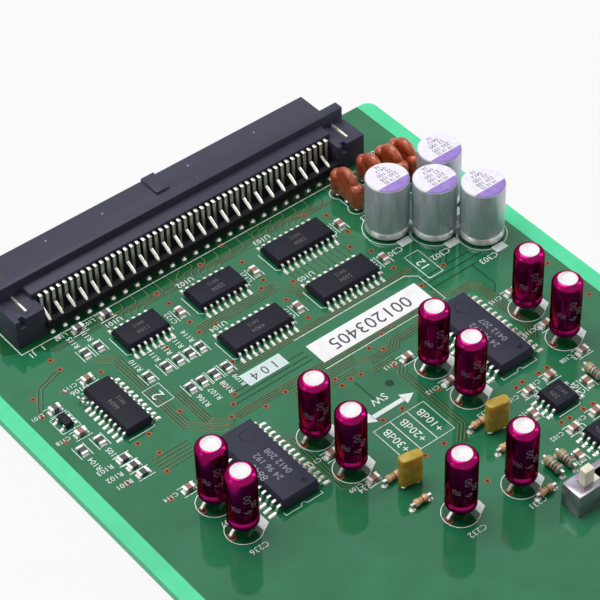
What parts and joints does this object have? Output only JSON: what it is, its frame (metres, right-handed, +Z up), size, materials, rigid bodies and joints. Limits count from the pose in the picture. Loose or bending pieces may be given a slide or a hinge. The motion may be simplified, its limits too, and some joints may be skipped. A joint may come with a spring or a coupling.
{
  "type": "analogue-to-digital converter card",
  "caption": "Green circuit card with an edge-mounted right-angle connector, converter chips, radial capacitors and a slide switch, for turning analogue signals into digital ones.",
  "frame": {"origin": "under the middle of the card's outline, at the tips of the longest soldered legs", "axes": "+X along the connector, +Y out of its mating face, +Z up from the component side"},
  "size_m": [0.099, 0.118, 0.0172],
  "materials": {
    "board": "solder mask over copper, semi-gloss",
    "connector_plastic": "moulded, fine matt",
    "contact_metal": "plated, bright",
    "tinned_lead": "tinned, satin",
    "package_resin": "moulded epoxy, matt",
    "aluminium_can": "drawn can, satin",
    "sleeve": "shrunk sleeve, glossy",
    "film_resin": "dipped coat, glossy",
    "filter_resin": "dipped coat, glossy",
    "banded_resistor": "lacquered, with colour bands",
    "tan_resistor": "lacquered",
    "chip_resistor": "glazed top, tinned ends",
    "chip_capacitor": "fired ceramic, tinned ends",
    "chip_inductor": "ferrite, tinned ends",
    "switch_metal": "plated sheet",
    "switch_insulator": "moulded laminate",
    "switch_knob": "moulded, cream",
    "label_paper": "printed paper"
  },
  "bodies": {
    "card": {"banded_resistor_leads": "tinned_lead", "banded_resistors": "banded_resistor", "chip_capacitors": "chip_capacitor", "chip_inductors": "chip_inductor", "chip_resistors": "chip_resistor", "circuit_board": "board", "connector_front_contacts": "contact_metal", "connector_hold_downs": "contact_metal", "connector_housing": "connector_plastic", "connector_locator": "connector_plastic", "connector_lower_contacts": "contact_metal", "connector_rear_contacts": "contact_metal", "converter_1": "package_resin", "converter_2": "package_resin", "converter_leads": "tinned_lead", "electrolytic_capacitor_leads": "tinned_lead", "electrolytic_capacitors": "sleeve", "film_capacitor_1": "film_resin", "film_capacitor_2": "film_resin", "film_capacitor_leads": "tinned_lead", "logic_ic_1": "package_resin", "logic_ic_2": "package_resin", "logic_ic_3": "package_resin", "logic_ic_4": "package_resin", "logic_ic_5": "package_resin", "logic_ic_6": "package_resin", "logic_ic_leads": "tinned_lead", "noise_filter_leads": "tinned_lead", "noise_filters": "filter_resin", "op_amp_1": "package_resin", "op_amp_2": "package_resin", "op_amp_leads": "tinned_lead", "polymer_capacitor_1": "aluminium_can", "polymer_capacitor_2": "aluminium_can", "polymer_capacitor_3": "aluminium_can", "polymer_capacitor_4": "aluminium_can", "polymer_capacitor_leads": "tinned_lead", "regulator": "package_resin", "regulator_leads": "tinned_lead", "revision_label": "label_paper", "serial_label": "label_paper", "switch_base": "switch_insulator", "switch_cover": "switch_metal", "switch_pins": "tinned_lead", "tan_resistor_leads": "tinned_lead", "tan_resistors": "tan_resistor"},
    "slider": {"switch_slider": "switch_knob"}
  },
  "joints": [
    {"name": "switch_slide", "type": "slide", "parent": "card", "child": "slider", "axis": [1, 0, 0], "range_m": [0, 0.004]}
  ]
}
